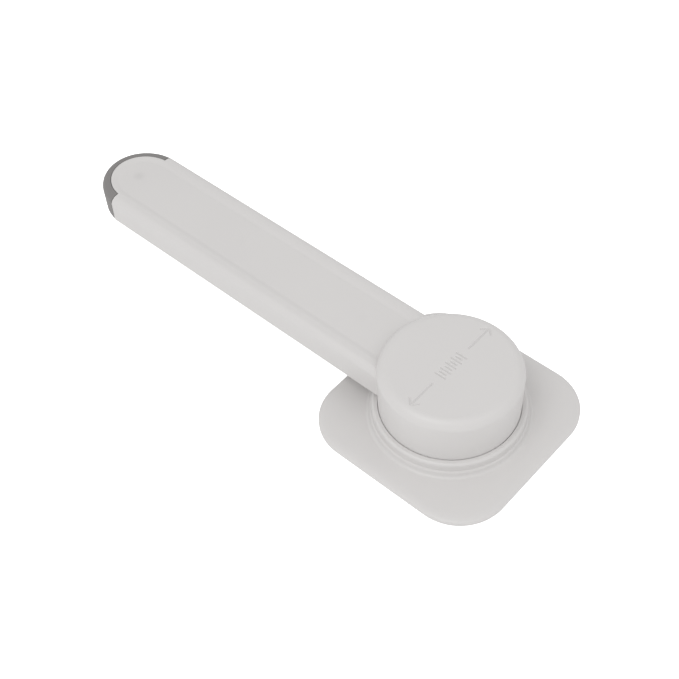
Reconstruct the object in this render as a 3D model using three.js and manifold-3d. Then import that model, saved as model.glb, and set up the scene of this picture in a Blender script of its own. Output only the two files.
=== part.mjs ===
// A stick-on pivoting lid latch. A square base is stuck beside a lid and an arm turns on it, over the lid
// or clear of it. A pawl in a toothed ring holds the arm until the grip at its tip is pulled out.
// Millimetres, +Z up. The origin is on the pivot axis, on the stuck-down face, and the arm lies along -X.
import * as THREE from "three";
import { mergeVertices } from "three/addons/utils/BufferGeometryUtils.js";
import Module from "manifold-3d";

const wasm = await Module();
wasm.setup();

// --- Driving dimensions -------------------------------------------------------------------------------

// Clearances between pieces.
const SLIDE_GAP = 0.35; // between pieces that slide on each other
const RUNNING_GAP = 0.2; // round the spindle in its bush
const SEAT_GAP = 0.3; // between fixed pieces that are dropped into each other
const SCREW_GAP = 0.25; // round a screw or a pin in its hole
const CUT = 1; // how far a cutter reaches past the face that it cuts
const ROUND = 56; // sides of the large circles

// Base plate and its foam pad.
const BASE_SIDE = 70;
const BASE_CORNER = 17.2;
const PAD_THICKNESS = 0.8;
const PAD_INSET = 0.5;
const PLATE_THICKNESS = 2.2;
const PLATE_ROLL_WIDTH = 3.6; // soft roll along the plate's upper edge
const PLATE_ROLL_DROP = 0.8;

// Hub of the arm, and the collar of the base round it.
const HUB_RADIUS = 23;
const HUB_TOP = 25.7;
const HUB_ROUNDING = 3.2;
const WALL = 1.9;
const COLLAR_GAP = 0.3;
const COLLAR_WIDTH = 1.7;
const COLLAR_TOP = 8;
const COLLAR_ROUNDING = 0.9;
const COLLAR_FOOT_WIDTH = 0.7; // low step round the foot of the collar
const COLLAR_FOOT_HEIGHT = 1.6; // of the step above the plate
const COLLAR_FILLET = 0.6;
const SKIRT_DEPTH = 3.1; // how far the hub reaches down inside the collar
const SKIRT_CLEARANCE = 0.5;
const MARK_DEPTH = 0.3; // of the arrows cut in the hub's top
const MARK_WIDTH = 0.8;
const ARROW_START = 9; // from the pivot axis
const ARROW_LENGTH = 10.6;
const ARROW_BARB = 2.4;

// Pivot: spindle, bush, washers and screw.
const SPINDLE_RADIUS = 5.7;
const SHOULDER_WIDTH = 3.3;
const BUSH_WALL = 1.8;
const BUSH_FLANGE = 2.1;
const BUSH_FLANGE_THICKNESS = 1;
const TOWER_SETBACK = 0.35; // of the tower's wall behind the roots of the ring's teeth
const WEB_THICKNESS = 2;
const WASHER_LAP = 0.8; // of the washer under the web that it holds
const WASHER_THICKNESS = 1;
const WAVE_THICKNESS = 0.3;
const WAVE_HEIGHT = 0.4;
const WAVES = 3;
const PIVOT_SCREW = { shank: 1.5, head: 2.9, headHeight: 1.8, length: 13 };
const SCREW_RECESS = 0.4; // from the plate's underside up to the pivot screw's head

// Toothed ring and its screws.
const TEETH = 24;
const TOOTH_DEPTH = 1.8;
const TOOTH_GAP_ANGLE = 8.6; // of the gap between two teeth at its root, in degrees
const TOOTH_FLARE_ANGLE = 1.4; // that the gap gains from root to tip, in degrees
const RING_THICKNESS = 3;
const RING_WIDTH = 6;
const RING_SCREWS = 3;
const RING_SCREW = { shank: 1.2, head: 2.2, headHeight: 1.3, length: 6 };

// Arm.
const ARM_LENGTH = 158.3; // from the pivot axis to the tip
const ARM_WIDTH = 30;
const ARM_BOTTOM = 10.9;
const ARM_HEIGHT = 10.8;
const ARM_ROUNDING = 2.6;
const ARM_NOSE = 16.6; // length of the rounded end
const PANEL_WIDTH = 20;
const PANEL_DEPTH = 0.45;
const PANEL_END = 5; // from the tip back to the end of the sunk panel
const COVER_THICKNESS = 1.6;
const BOSS_RADIUS = 3.2;
const BOSS_CLEARANCE = 0.7; // left between the first boss and the pawl, when the pawl is pulled back
const BOSS_SPACING = 55; // from the first boss to the second
const TIP_BOSS_SETBACK = 13.5; // of the third boss from the tip
const COVER_SCREW = { shank: 1.15, head: 2.4, headHeight: 1.4, length: 5.5 };
const COVER_SCREW_RECESS = 0.3;
const COVER_PAD = 1; // height of the pads round the cover's screw holes

// Grip at the tip.
const GRIP_LENGTH = 14.4;
const TONGUE_FRONT = 3.45; // grip showing in front of the arm's top tongue
const TONGUE_SIDE = 3.45; // and beside it
const LOWER_TONGUE_WIDTH = 12;
const LOWER_TONGUE_LENGTH = 9;
const WING_THICKNESS = 1.6;
const WING_LENGTH = 8;
const LINK_WIDTH = 16;
const LINK_LENGTH = 11.5;
const LINK_THICKNESS = 2;
const PULL = 3; // travel of the grip

// Pull rod, pawl, their pins and the spring.
const ROD_WIDTH = 14;
const ROD_THICKNESS = 2;
const ROD_START = 2; // from the hub wall to the rod's end
const ROD_OVERLAP = 5; // of the rod under the grip's link
const PAWL_WIDTH = 6;
const PAWL_TAIL = 5;
const PAWL_TAIL_WIDTH = 13.6;
const PAWL_TAIL_THICKNESS = 1.6;
const PAWL_NOSE_WIDTH = 1.8;
const PAWL_NOSE_LENGTH = 2.6;
const PAWL_STEP = 0.3; // that the pawl's neck reaches up past the underside of its tail
const PIN_RADIUS = 1.2;
const PAWL_PIN_SPREAD = 9.4;
const SPRING_TAB_SETBACK = 2.1; // of the rod's tab behind the slot for the first boss
const SPRING_LENGTH = 17.8;
const SPRING_RADIUS = 1.95;
const SPRING_WIRE = 0.7;
const SPRING_TURNS = 6;
const RIB_THICKNESS = 1.4;
const RAIL_NEAR_SETBACK = 3.9; // of the rails from the near end of the spring
const RAIL_FAR_SETBACK = 4.8; // and from the grip's link

// --- Heights and places that follow -------------------------------------------------------------------

const plateTop = PAD_THICKNESS + PLATE_THICKNESS;
const skirtBottom = COLLAR_TOP - SKIRT_DEPTH;
const channelFloor = skirtBottom - SKIRT_CLEARANCE;
const channelOuter = HUB_RADIUS + COLLAR_GAP;
const collarOuter = channelOuter + COLLAR_WIDTH;
const footOuter = collarOuter + COLLAR_FOOT_WIDTH;
const footTop = plateTop + COLLAR_FOOT_HEIGHT;
const hubInner = HUB_RADIUS - WALL;
const channelInner = hubInner - COLLAR_GAP;
const hubCeiling = HUB_TOP - WALL;

const pivotHeadBottom = PAD_THICKNESS + SCREW_RECESS;
const washerBottom = pivotHeadBottom + PIVOT_SCREW.headHeight;
const spindleBottom = washerBottom + WASHER_THICKNESS;
const waveRoom = WAVE_THICKNESS + WAVE_HEIGHT + SEAT_GAP;
const webBottom = spindleBottom + waveRoom;
const webTop = webBottom + WEB_THICKNESS;

const armTop = ARM_BOTTOM + ARM_HEIGHT;
const armCeiling = armTop - WALL;
const armInnerHalf = ARM_WIDTH / 2 - WALL;
const coverTop = ARM_BOTTOM + COVER_THICKNESS;
const bossFoot = coverTop + COVER_PAD + SEAT_GAP;
const coverHeadTop = ARM_BOTTOM + COVER_SCREW_RECESS + COVER_SCREW.headHeight;
const coverScrewTip = coverHeadTop + COVER_SCREW.length;
const rodBottom = coverTop + SLIDE_GAP + RUNNING_GAP;
const rodTop = rodBottom + ROD_THICKNESS;
const linkBottom = rodTop + SEAT_GAP;

const bushInner = SPINDLE_RADIUS + RUNNING_GAP;
const bushOuter = bushInner + BUSH_WALL;
const towerBore = bushOuter + SEAT_GAP;
const washerRadius = towerBore + WASHER_LAP;
const recessRadius = washerRadius + BUSH_WALL;
const towerTop = rodBottom - RUNNING_GAP;
const flangeRadius = bushOuter + BUSH_FLANGE;
const flangeTop = towerTop + BUSH_FLANGE_THICKNESS;
const ringInner = flangeRadius + SLIDE_GAP;
const ringRoot = ringInner + RING_WIDTH;
const ringTip = ringRoot + TOOTH_DEPTH;
const towerRadius = ringRoot - TOWER_SETBACK;
const ringTop = towerTop + RING_THICKNESS;
const ringScrewCircle = (ringInner + ringRoot) / 2;

const gripStart = ARM_LENGTH - GRIP_LENGTH;
const linkEnd = gripStart - LINK_LENGTH;
const rodNear = HUB_RADIUS + ROD_START;
const rodFar = linkEnd + ROD_OVERLAP;
const tipPinPlace = linkEnd + ROD_OVERLAP / 2;
const slotHalf = BOSS_RADIUS + SLIDE_GAP;
const firstBoss = rodNear + PAWL_TAIL + PULL + BOSS_RADIUS + BOSS_CLEARANCE;
const bossPlaces = [firstBoss, firstBoss + BOSS_SPACING, ARM_LENGTH - TIP_BOSS_SETBACK];
const tabNear = firstBoss + slotHalf + SPRING_TAB_SETBACK;
const tabFar = tabNear + RIB_THICKNESS;
const springNear = tabFar + SEAT_GAP / 2;
const springFar = springNear + SPRING_LENGTH;
const springOuter = SPRING_RADIUS + SPRING_WIRE / 2;
const springHeight = rodBottom + springOuter + SEAT_GAP;

// --- Solids -------------------------------------------------------------------------------------------

/** A closed geometry as a solid: its shared corners merged and its flat triangles dropped. */
function solid(geometry) {
  const bare = new THREE.BufferGeometry().setIndex(geometry.index);
  bare.setAttribute("position", geometry.getAttribute("position"));
  const merged = mergeVertices(bare, 1e-4);
  const source = merged.index.array;
  const triangles = [];
  for (let i = 0; i < source.length; i += 3) {
    const [a, b, c] = [source[i], source[i + 1], source[i + 2]];
    if (a !== b && b !== c && c !== a) triangles.push(a, b, c);
  }
  const vertProperties = merged.getAttribute("position").array;
  const mesh = { numProp: 3, vertProperties, triVerts: new Uint32Array(triangles) };
  return new wasm.Manifold(new wasm.Mesh(mesh));
}

/** A solid back as a geometry. */
function geometryOf(body) {
  const { vertProperties, triVerts } = body.getMesh();
  const geometry = new THREE.BufferGeometry();
  geometry.setAttribute("position", new THREE.BufferAttribute(vertProperties, 3));
  geometry.setIndex(new THREE.BufferAttribute(triVerts, 1));
  geometry.computeVertexNormals();
  return geometry;
}

/** A box between two corners. */
function box([x0, y0, z0], [x1, y1, z1]) {
  const geometry = new THREE.BoxGeometry(x1 - x0, y1 - y0, z1 - z0);
  return solid(geometry.translate((x0 + x1) / 2, (y0 + y1) / 2, (z0 + z1) / 2));
}

/** A box along the arm, from one distance from the pivot axis to another, centred across it. */
function armBox(near, far, width, bottom, top) {
  return box([-far, -width / 2, bottom], [-near, width / 2, top]);
}

/** A profile of [radius, height] pairs, listed anticlockwise, turned round the Z axis. */
function turned(profile, segments = 32) {
  const points = profile.map(([radius, height]) => new THREE.Vector2(radius, height));
  const closed = profile[0][0] > 0 || profile.at(-1)[0] > 0;
  if (closed) points.push(points[0].clone());
  return solid(new THREE.LatheGeometry(points, segments).rotateX(Math.PI / 2));
}

/** A cylinder on the Z axis or on a place along the arm. */
function cylinder(radius, bottom, top, segments = 32, x = 0, y = 0) {
  const profile = [[0, bottom], [radius, bottom], [radius, top], [0, top]];
  return turned(profile, segments).translate(x, y, 0);
}

/** A hollow cylinder on the Z axis. */
function tube(inner, outer, bottom, top, segments = 32) {
  return turned([[inner, bottom], [outer, bottom], [outer, top], [inner, top]], segments);
}

/** A flat outline raised from one height to another. */
function raised(outline, bottom, top, curveSegments = 12) {
  const options = { depth: top - bottom, bevelEnabled: false, curveSegments };
  return solid(new THREE.ExtrudeGeometry(outline, options).translate(0, 0, bottom));
}

/** The same, with its upper edge rounded: a quarter of an ellipse, from its width and its drop. */
function raisedRounded(outline, bottom, top, width, drop, curveSegments = 12) {
  const options = {
    depth: top - bottom,
    bevelThickness: drop,
    bevelSize: width,
    bevelOffset: -width,
    bevelSegments: 4,
    curveSegments,
  };
  const body = new THREE.ExtrudeGeometry(outline, options).translate(0, 0, bottom - drop);
  const reach = 2 * ARM_LENGTH;
  return solid(body).intersect(box([-reach, -reach, bottom], [reach, reach, top + CUT]));
}

/** Quarter-round points of a profile, from one angle to another in degrees. */
function arc(radius, height, size, from, to, steps = 5) {
  return Array.from({ length: steps + 1 }, (_, i) => {
    const angle = THREE.MathUtils.degToRad(from + ((to - from) * i) / steps);
    return [radius + size * Math.cos(angle), height + size * Math.sin(angle)];
  });
}

/** A screw on the Z axis that stands on its head: shank upwards from the head. */
function screw(size, headBottom) {
  const headTop = headBottom + size.headHeight;
  const shankTop = headTop + size.length;
  const point = size.shank / 2;
  const socket = cylinder(size.head * 0.45, headBottom - CUT, headBottom + size.headHeight * 0.5, 6);
  const profile = [
    [0, headBottom],
    [size.head * 0.85, headBottom],
    [size.head, headBottom + size.headHeight * 0.4],
    [size.head, headTop],
    [size.shank, headTop],
    [size.shank, shankTop - point],
    [point, shankTop],
    [0, shankTop],
  ];
  return turned(profile, 12).subtract(socket);
}

/** A hole for a screw's or a pin's shank. */
function shankHole(radius, bottom, top, x = 0, y = 0) {
  return cylinder(radius + SCREW_GAP, bottom, top, 16, x, y);
}

/** A slot along the arm that lets a piece slide outwards past a round boss. */
function bossSlot(place, bottom, top) {
  const round = cylinder(slotHalf, bottom, top, 24, -place);
  const travel = armBox(place - PULL, place, 2 * slotHalf, bottom, top);
  return round.add(travel).add(cylinder(slotHalf, bottom, top, 24, -place + PULL));
}

// --- Outlines -----------------------------------------------------------------------------------------

/** A square with round corners, centred on the origin. */
function roundedSquare(side, corner) {
  const half = side / 2;
  const flat = half - corner;
  const outline = new THREE.Shape();
  const centres = [[flat, flat], [-flat, flat], [-flat, -flat], [flat, -flat]];
  centres.forEach(([x, y], i) => {
    outline.absarc(x, y, corner, (i * Math.PI) / 2, ((i + 1) * Math.PI) / 2);
  });
  return outline;
}

/** A strip along the arm that ends in half an ellipse at its far end. */
function strip(near, far, width, nose) {
  const half = width / 2;
  const outline = new THREE.Shape();
  outline.moveTo(-near, half);
  outline.lineTo(-far + nose, half);
  outline.absellipse(-far + nose, 0, nose, half, Math.PI / 2, (3 * Math.PI) / 2);
  outline.lineTo(-near, -half);
  outline.closePath();
  return outline;
}

const armOutline = strip(0, ARM_LENGTH, ARM_WIDTH, ARM_NOSE);

/** The tongue that carries the arm's top over the grip, made larger all round by a gap. */
function tongueOutline(gap) {
  const nose = ARM_NOSE - TONGUE_FRONT + gap;
  const width = ARM_WIDTH - 2 * TONGUE_SIDE + 2 * gap;
  return strip(linkEnd, ARM_LENGTH - TONGUE_FRONT + gap, width, nose);
}

// --- Base ---------------------------------------------------------------------------------------------

function adhesivePad() {
  const outline = roundedSquare(BASE_SIDE - 2 * PAD_INSET, BASE_CORNER - PAD_INSET);
  return raised(outline, 0, PAD_THICKNESS, 8);
}

/** Middle of the base: recess, web, tower, channel, and collar with a step and a fillet at its foot. */
function baseMiddle() {
  const profile = [
    [recessRadius, PAD_THICKNESS],
    [footOuter + COLLAR_FILLET, PAD_THICKNESS],
    ...arc(footOuter + COLLAR_FILLET, plateTop + COLLAR_FILLET, COLLAR_FILLET, 270, 180, 3),
    ...arc(footOuter - COLLAR_FILLET / 2, footTop - COLLAR_FILLET / 2, COLLAR_FILLET / 2, 0, 90, 2),
    [collarOuter, footTop],
    ...arc(collarOuter - COLLAR_ROUNDING, COLLAR_TOP - COLLAR_ROUNDING, COLLAR_ROUNDING, 0, 90, 2),
    [channelOuter, COLLAR_TOP],
    [channelOuter, channelFloor],
    [channelInner, channelFloor],
    [channelInner, webTop],
    [towerRadius, webTop],
    [towerRadius, towerTop],
    [towerBore, towerTop],
    [towerBore, webBottom],
    [recessRadius, webBottom],
  ];
  return turned(profile, ROUND);
}

function basePlate() {
  const outline = roundedSquare(BASE_SIDE, BASE_CORNER);
  const plate = raisedRounded(outline, PAD_THICKNESS, plateTop, PLATE_ROLL_WIDTH, PLATE_ROLL_DROP, 8)
    .subtract(cylinder(channelInner, PAD_THICKNESS - CUT, plateTop + CUT, ROUND))
    .add(baseMiddle());
  const pilotBottom = ringTop - RING_SCREW.length - CUT;
  return ringScrewPlaces().reduce(
    (left, [x, y]) => left.subtract(shankHole(RING_SCREW.shank, pilotBottom, towerTop + CUT, x, y)),
    plate,
  );
}

function ringScrewPlaces() {
  return Array.from({ length: RING_SCREWS }, (_, i) => {
    const angle = ((2 * i + 1) * Math.PI) / RING_SCREWS;
    return [ringScrewCircle * Math.cos(angle), ringScrewCircle * Math.sin(angle)];
  });
}

/** Toothed ring, with a gap between two teeth on the arm's own line. */
function indexRing() {
  const pitch = (2 * Math.PI) / TEETH;
  const rootHalf = THREE.MathUtils.degToRad(TOOTH_GAP_ANGLE / 2);
  const tipHalf = THREE.MathUtils.degToRad((TOOTH_GAP_ANGLE + TOOTH_FLARE_ANGLE) / 2);
  const gap = [[ringTip, -tipHalf], [ringRoot, -rootHalf], [ringRoot, rootHalf], [ringTip, tipHalf]];
  const points = Array.from({ length: TEETH }, (_, i) =>
    gap.map(([radius, turn]) => {
      const angle = Math.PI + i * pitch + turn;
      return new THREE.Vector2(radius * Math.cos(angle), radius * Math.sin(angle));
    }),
  );
  const outline = new THREE.Shape(points.flat());
  const body = raised(outline, towerTop, ringTop).subtract(
    cylinder(ringInner, towerTop - CUT, ringTop + CUT, 48),
  );
  return ringScrewPlaces().reduce(
    (left, [x, y]) => left.subtract(shankHole(RING_SCREW.shank, towerTop - CUT, ringTop + CUT, x, y)),
    body,
  );
}

/** One of the ring's screws, head up. */
function ringScrew([x, y]) {
  return screw(RING_SCREW, 0)
    .rotate([180, 0, 0])
    .translate(x, y, ringTop + RING_SCREW.headHeight);
}

function pivotBush() {
  return turned(
    [
      [bushInner, webBottom],
      [bushOuter, webBottom],
      [bushOuter, towerTop],
      [flangeRadius, towerTop],
      [flangeRadius, flangeTop],
      [bushInner, flangeTop],
    ],
    40,
  );
}

// --- Arm ----------------------------------------------------------------------------------------------

/** Hub: a cup upside down, with a spindle down its middle. */
function hub() {
  const shoulder = SPINDLE_RADIUS + SHOULDER_WIDTH;
  const profile = [
    [0, spindleBottom],
    [SPINDLE_RADIUS, spindleBottom],
    [SPINDLE_RADIUS, flangeTop + SEAT_GAP],
    [shoulder, flangeTop + SEAT_GAP],
    [shoulder, hubCeiling],
    [hubInner, hubCeiling],
    [hubInner, skirtBottom],
    [HUB_RADIUS, skirtBottom],
    ...arc(HUB_RADIUS - HUB_ROUNDING, HUB_TOP - HUB_ROUNDING, HUB_ROUNDING, 0, 90),
    [0, HUB_TOP],
  ];
  return arrows().reduce((left, cutter) => left.subtract(cutter), turned(profile, ROUND));
}

/** Round bosses under the arm's top that take the cover's screws. */
function bosses() {
  return bossPlaces.map((place) => cylinder(BOSS_RADIUS, bossFoot, armTop - WALL / 2, 24, -place));
}

/** Rib that the spring pushes against, and two rails that guide the rod. */
function ribs() {
  const top = armTop - WALL / 2;
  const stop = armBox(springFar, springFar + RIB_THICKNESS, 2 * springOuter, rodBottom, top);
  const railSide = ROD_WIDTH / 2 + SLIDE_GAP;
  const rails = [-railSide - RIB_THICKNESS, railSide].map((y) =>
    box(
      [-linkEnd + RAIL_FAR_SETBACK, y, rodBottom],
      [-springNear - RAIL_NEAR_SETBACK, y + RIB_THICKNESS, top],
    ),
  );
  return [stop, ...rails];
}

/** Cutters for the arrows in the hub's top, one to each side: a shaft, and two barbs at its tip. */
function arrows() {
  const tip = ARROW_START + ARROW_LENGTH;
  const line = (from, to) =>
    box([-MARK_WIDTH / 2, from, HUB_TOP - MARK_DEPTH], [MARK_WIDTH / 2, to, HUB_TOP + CUT]);
  return [0, 180].flatMap((side) => [
    line(ARROW_START, tip).rotate([0, 0, side]),
    ...[-45, 45].map((turn) =>
      line(-ARROW_BARB, MARK_WIDTH / 2).rotate([0, 0, turn]).translate(0, tip, 0).rotate([0, 0, side]),
    ),
  ]);
}

function armShell() {
  const whole = raisedRounded(armOutline, ARM_BOTTOM, armTop, ARM_ROUNDING, ARM_ROUNDING, 16);
  const beam = whole
    .intersect(armBox(0, gripStart, ARM_WIDTH + CUT, ARM_BOTTOM - CUT, armTop + CUT))
    .subtract(armBox(-CUT, gripStart + CUT, 2 * armInnerHalf, ARM_BOTTOM - CUT, armCeiling))
    .subtract(cylinder(hubInner + WALL / 2, ARM_BOTTOM - CUT, armTop + CUT, ROUND));
  const tongue = raised(tongueOutline(0), armCeiling, armTop + CUT, 16);
  const panel = strip(hubInner, ARM_LENGTH - PANEL_END, PANEL_WIDTH, PANEL_WIDTH / 2);
  const sunk = raised(panel, armTop - PANEL_DEPTH, armTop + CUT, 10).subtract(
    cylinder(HUB_RADIUS, ARM_BOTTOM, armTop + 2 * CUT, ROUND),
  );
  const window = armBox(
    hubInner - WALL,
    HUB_RADIUS + CUT,
    PAWL_WIDTH + 2 * SLIDE_GAP,
    rodBottom - SLIDE_GAP,
    linkBottom + PAWL_TAIL_THICKNESS + SLIDE_GAP,
  );
  const joined = [tongue.intersect(whole), hub(), ...bosses(), ...ribs()].reduce(
    (left, piece) => left.add(piece),
    beam,
  );
  const pilots = bossPlaces.map((place) =>
    shankHole(COVER_SCREW.shank, bossFoot - CUT, coverScrewTip + SEAT_GAP, -place),
  );
  const pivotPilotTop = washerBottom + PIVOT_SCREW.length + CUT;
  const pivotPilot = shankHole(PIVOT_SCREW.shank, spindleBottom - CUT, pivotPilotTop);
  return [sunk, window, pivotPilot, ...pilots].reduce((left, cutter) => left.subtract(cutter), joined);
}

function armCover() {
  const width = 2 * (armInnerHalf - SEAT_GAP);
  const lowerTongue = gripStart + LOWER_TONGUE_LENGTH;
  const plate = armBox(0, gripStart - SEAT_GAP, width, ARM_BOTTOM, coverTop)
    .add(armBox(gripStart - WALL, lowerTongue, LOWER_TONGUE_WIDTH, ARM_BOTTOM, coverTop))
    .subtract(cylinder(HUB_RADIUS + SEAT_GAP, ARM_BOTTOM - CUT, coverTop + CUT, ROUND));
  return bossPlaces.reduce((left, place) => {
    const pad = cylinder(BOSS_RADIUS, ARM_BOTTOM, coverTop + COVER_PAD, 24, -place);
    return left
      .add(pad)
      .subtract(shankHole(COVER_SCREW.head, ARM_BOTTOM - CUT, coverHeadTop, -place))
      .subtract(shankHole(COVER_SCREW.shank, ARM_BOTTOM, coverTop + COVER_PAD + CUT, -place));
  }, plate);
}

function coverScrew(place) {
  return screw(COVER_SCREW, ARM_BOTTOM + COVER_SCREW_RECESS).translate(-place, 0, 0);
}

function retainingWasher() {
  return tube(PIVOT_SCREW.shank + SCREW_GAP, washerRadius, washerBottom, spindleBottom, 32);
}

/** Wave washer: a thin ring whose height rises and falls as it goes round. */
function waveWasher() {
  const geometry = new THREE.LatheGeometry(
    [
      [bushInner, 0],
      [washerRadius, 0],
      [washerRadius, WAVE_THICKNESS],
      [bushInner, WAVE_THICKNESS],
      [bushInner, 0],
    ].map(([radius, height]) => new THREE.Vector2(radius, height)),
    36,
  ).rotateX(Math.PI / 2);
  const position = geometry.getAttribute("position");
  for (let i = 0; i < position.count; i++) {
    const angle = Math.atan2(position.getY(i), position.getX(i));
    const lift = ((1 + Math.cos(WAVES * angle)) * WAVE_HEIGHT) / 2;
    position.setZ(i, position.getZ(i) + spindleBottom + SEAT_GAP / 2 + lift);
  }
  return solid(geometry);
}

/** Coil spring along the arm: a round wire swept along a helix. */
function returnSpring() {
  class Coil extends THREE.Curve {
    getPoint(t, target = new THREE.Vector3()) {
      const angle = 2 * Math.PI * SPRING_TURNS * t;
      const run = springNear + SPRING_WIRE / 2 + (SPRING_LENGTH - SPRING_WIRE) * t;
      const [y, z] = [SPRING_RADIUS * Math.cos(angle), SPRING_RADIUS * Math.sin(angle)];
      return target.set(-run, y, springHeight + z);
    }
  }
  const wire = new THREE.Shape().absarc(0, 0, SPRING_WIRE / 2, 0, 2 * Math.PI);
  const steps = SPRING_TURNS * 10;
  const options = { steps, curveSegments: 6, extrudePath: new Coil(), bevelEnabled: false };
  return solid(new THREE.ExtrudeGeometry(wire, options));
}

// --- Release: grip, rod and pawl ----------------------------------------------------------------------

function releaseGrip() {
  const wingOuter = armInnerHalf - SLIDE_GAP;
  const roof = armCeiling - SLIDE_GAP;
  const block = raisedRounded(armOutline, ARM_BOTTOM, armTop, ARM_ROUNDING, ARM_ROUNDING, 16)
    .intersect(armBox(gripStart, ARM_LENGTH + CUT, ARM_WIDTH + CUT, ARM_BOTTOM - CUT, armTop + CUT))
    .subtract(raised(tongueOutline(SLIDE_GAP), roof, armTop + CUT, 16));
  const hollowOutline = strip(linkEnd, ARM_LENGTH - WALL, 2 * wingOuter, ARM_NOSE - WALL);
  const hollow = raised(hollowOutline, coverTop, linkBottom, 12);
  const wings = [-wingOuter, wingOuter - WING_THICKNESS].map((y) =>
    box([-gripStart - CUT, y, rodBottom], [-gripStart + WING_LENGTH, y + WING_THICKNESS, roof]),
  );
  const link = armBox(linkEnd, gripStart + CUT, LINK_WIDTH, linkBottom, linkBottom + LINK_THICKNESS);
  const pocket = armBox(
    gripStart - CUT,
    gripStart + LOWER_TONGUE_LENGTH + SLIDE_GAP,
    LOWER_TONGUE_WIDTH + 2 * SLIDE_GAP,
    ARM_BOTTOM - CUT,
    coverTop + CUT,
  );
  return [link, ...wings]
    .reduce((left, piece) => left.add(piece), block.subtract(hollow))
    .subtract(pocket)
    .subtract(bossSlot(bossPlaces[2], linkBottom - CUT, armTop))
    .subtract(shankHole(PIN_RADIUS, linkBottom - CUT, armTop, -tipPinPlace));
}

function pullRod() {
  const tabWidth = 2 * springOuter;
  const bar = armBox(rodNear, rodFar, ROD_WIDTH, rodBottom, rodTop);
  const window = armBox(
    tabFar,
    springFar + RIB_THICKNESS + SLIDE_GAP,
    tabWidth + 2 * SLIDE_GAP,
    rodBottom - CUT,
    rodTop + CUT,
  );
  const tab = armBox(tabNear, tabFar, tabWidth, rodBottom, armCeiling - SLIDE_GAP);
  return bar
    .subtract(window)
    .add(tab)
    .subtract(bossSlot(bossPlaces[0], rodBottom - CUT, rodTop + CUT))
    .subtract(bossSlot(bossPlaces[1], rodBottom - CUT, rodTop + CUT))
    .subtract(shankHole(PIN_RADIUS, rodBottom - CUT, rodTop + CUT, -tipPinPlace))
    .subtract(pawlPinHole(-1))
    .subtract(pawlPinHole(1));
}

const pawlPinPlace = rodNear + PAWL_TAIL / 2;

function pawlPinHole(side) {
  return shankHole(PIN_RADIUS, rodBottom - CUT, armTop, -pawlPinPlace, (side * PAWL_PIN_SPREAD) / 2);
}

/** Pawl: a tail on the rod, a neck through the hub wall, and a nose in a gap of the ring. */
function pawl() {
  const noseEnd = ringRoot + SEAT_GAP;
  const neckEnd = noseEnd + PAWL_NOSE_LENGTH;
  const tailTop = linkBottom + PAWL_TAIL_THICKNESS;
  const neckTop = linkBottom + PAWL_STEP;
  return armBox(rodNear, rodNear + PAWL_TAIL, PAWL_TAIL_WIDTH, linkBottom, tailTop)
    .add(armBox(rodNear - RIB_THICKNESS, rodNear + CUT, PAWL_WIDTH, linkBottom, tailTop))
    .add(armBox(neckEnd, rodNear - SEAT_GAP, PAWL_WIDTH, rodBottom, neckTop))
    .add(armBox(noseEnd, neckEnd + CUT, PAWL_NOSE_WIDTH, rodBottom, neckTop))
    .subtract(pawlPinHole(-1))
    .subtract(pawlPinHole(1));
}

function pin(place, y, top) {
  return cylinder(PIN_RADIUS, rodBottom, top, 12, -place, y);
}

// --- Assembly -----------------------------------------------------------------------------------------

const finishes = {
  plastic: new THREE.MeshStandardMaterial({ color: 0xe3e0dd, roughness: 0.55 }),
  insidePlastic: new THREE.MeshStandardMaterial({ color: 0xdcdad6, roughness: 0.6 }),
  grip: new THREE.MeshStandardMaterial({ color: 0x84868a, roughness: 0.55 }),
  foam: new THREE.MeshStandardMaterial({ color: 0xf2f2ef, roughness: 0.9 }),
  acetal: new THREE.MeshStandardMaterial({ color: 0xf0eee6, roughness: 0.4 }),
  steel: new THREE.MeshStandardMaterial({ color: 0xb9bcc0, roughness: 0.3, metalness: 1 }),
};

const latch = new THREE.Group();

function addPiece(name, body, finish) {
  const piece = new THREE.Mesh(geometryOf(body), finishes[finish].clone());
  piece.name = name;
  latch.add(piece);
}

addPiece("adhesive_pad", adhesivePad(), "foam");
addPiece("base_plate", basePlate(), "plastic");
addPiece("index_ring", indexRing(), "acetal");
ringScrewPlaces().forEach((place, i) => addPiece(`ring_screw_${i + 1}`, ringScrew(place), "steel"));
addPiece("pivot_bush", pivotBush(), "acetal");

addPiece("arm_shell", armShell(), "plastic");
addPiece("arm_cover", armCover(), "insidePlastic");
bossPlaces.forEach((place, i) => addPiece(`cover_screw_${i + 1}`, coverScrew(place), "steel"));
addPiece("pivot_screw", screw(PIVOT_SCREW, pivotHeadBottom), "steel");
addPiece("retaining_washer", retainingWasher(), "steel");
addPiece("wave_washer", waveWasher(), "steel");
addPiece("return_spring", returnSpring(), "steel");

addPiece("release_grip", releaseGrip(), "grip");
addPiece("pull_rod", pullRod(), "acetal");
addPiece("pawl", pawl(), "acetal");
addPiece("tip_pin", pin(tipPinPlace, 0, linkBottom + LINK_THICKNESS), "steel");
[-1, 1].forEach((side, i) => {
  const body = pin(pawlPinPlace, (side * PAWL_PIN_SPREAD) / 2, linkBottom + PAWL_TAIL_THICKNESS);
  addPiece(`pawl_pin_${i + 1}`, body, "steel");
});

export default latch;
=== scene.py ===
import math

import bmesh
import bpy
import numpy as np
from mathutils import Matrix, Vector


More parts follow.
